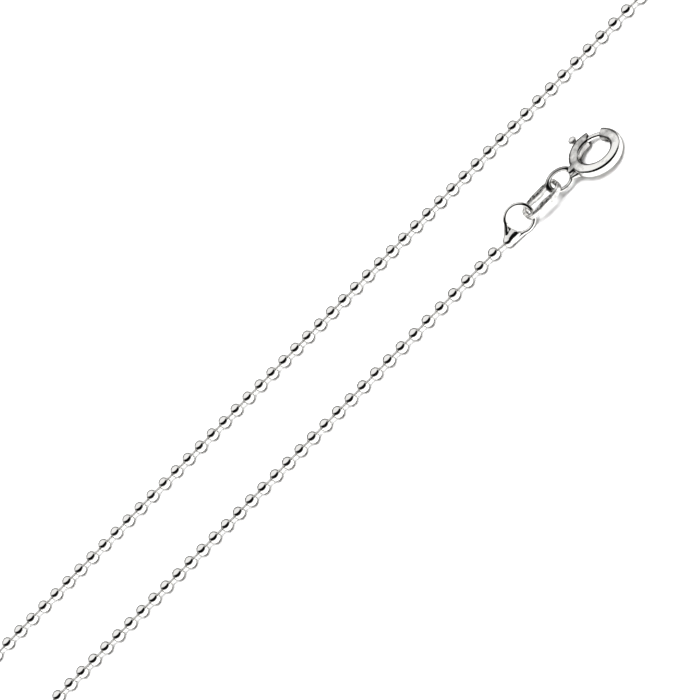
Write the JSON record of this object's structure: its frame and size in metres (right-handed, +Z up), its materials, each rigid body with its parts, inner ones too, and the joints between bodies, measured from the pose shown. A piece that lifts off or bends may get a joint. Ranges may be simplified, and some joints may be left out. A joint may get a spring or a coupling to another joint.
{
  "type": "ball chain necklace",
  "caption": "Open ball chain necklace: round beads on short rods, end caps with wire loops, a flat oval tag link, a round bolt ring clasp and an end ring.",
  "frame": {"origin": "middle of the underside of the necklace as it lies open on a flat surface", "axes": "+X along the two straight strands, from the round neck loop towards the clasp; +Z up from the surface"},
  "size_m": [0.1973, 0.0512, 0.0031],
  "materials": {
    "bead_silver": "polished silver",
    "clasp_silver": "polished silver"
  },
  "bodies": {
    "necklace": {"chain_clasp_side": "bead_silver", "chain_plain_side": "bead_silver", "end_cap_clasp": "clasp_silver", "tag_link": "clasp_silver", "clasp_ring": "clasp_silver", "end_cap_plain": "clasp_silver", "end_ring": "clasp_silver"},
    "bolt": {"bolt": "clasp_silver"}
  },
  "joints": [
    {"name": "bolt_slide", "type": "hinge", "parent": "necklace", "child": "bolt", "pos_m": [0.07111, -0.00673, 0.00106], "axis": [0.1334, 0.044, 0.9901], "range_deg": [0, 46], "stiffness_Nm_per_rad": 0.00002}
  ]
}
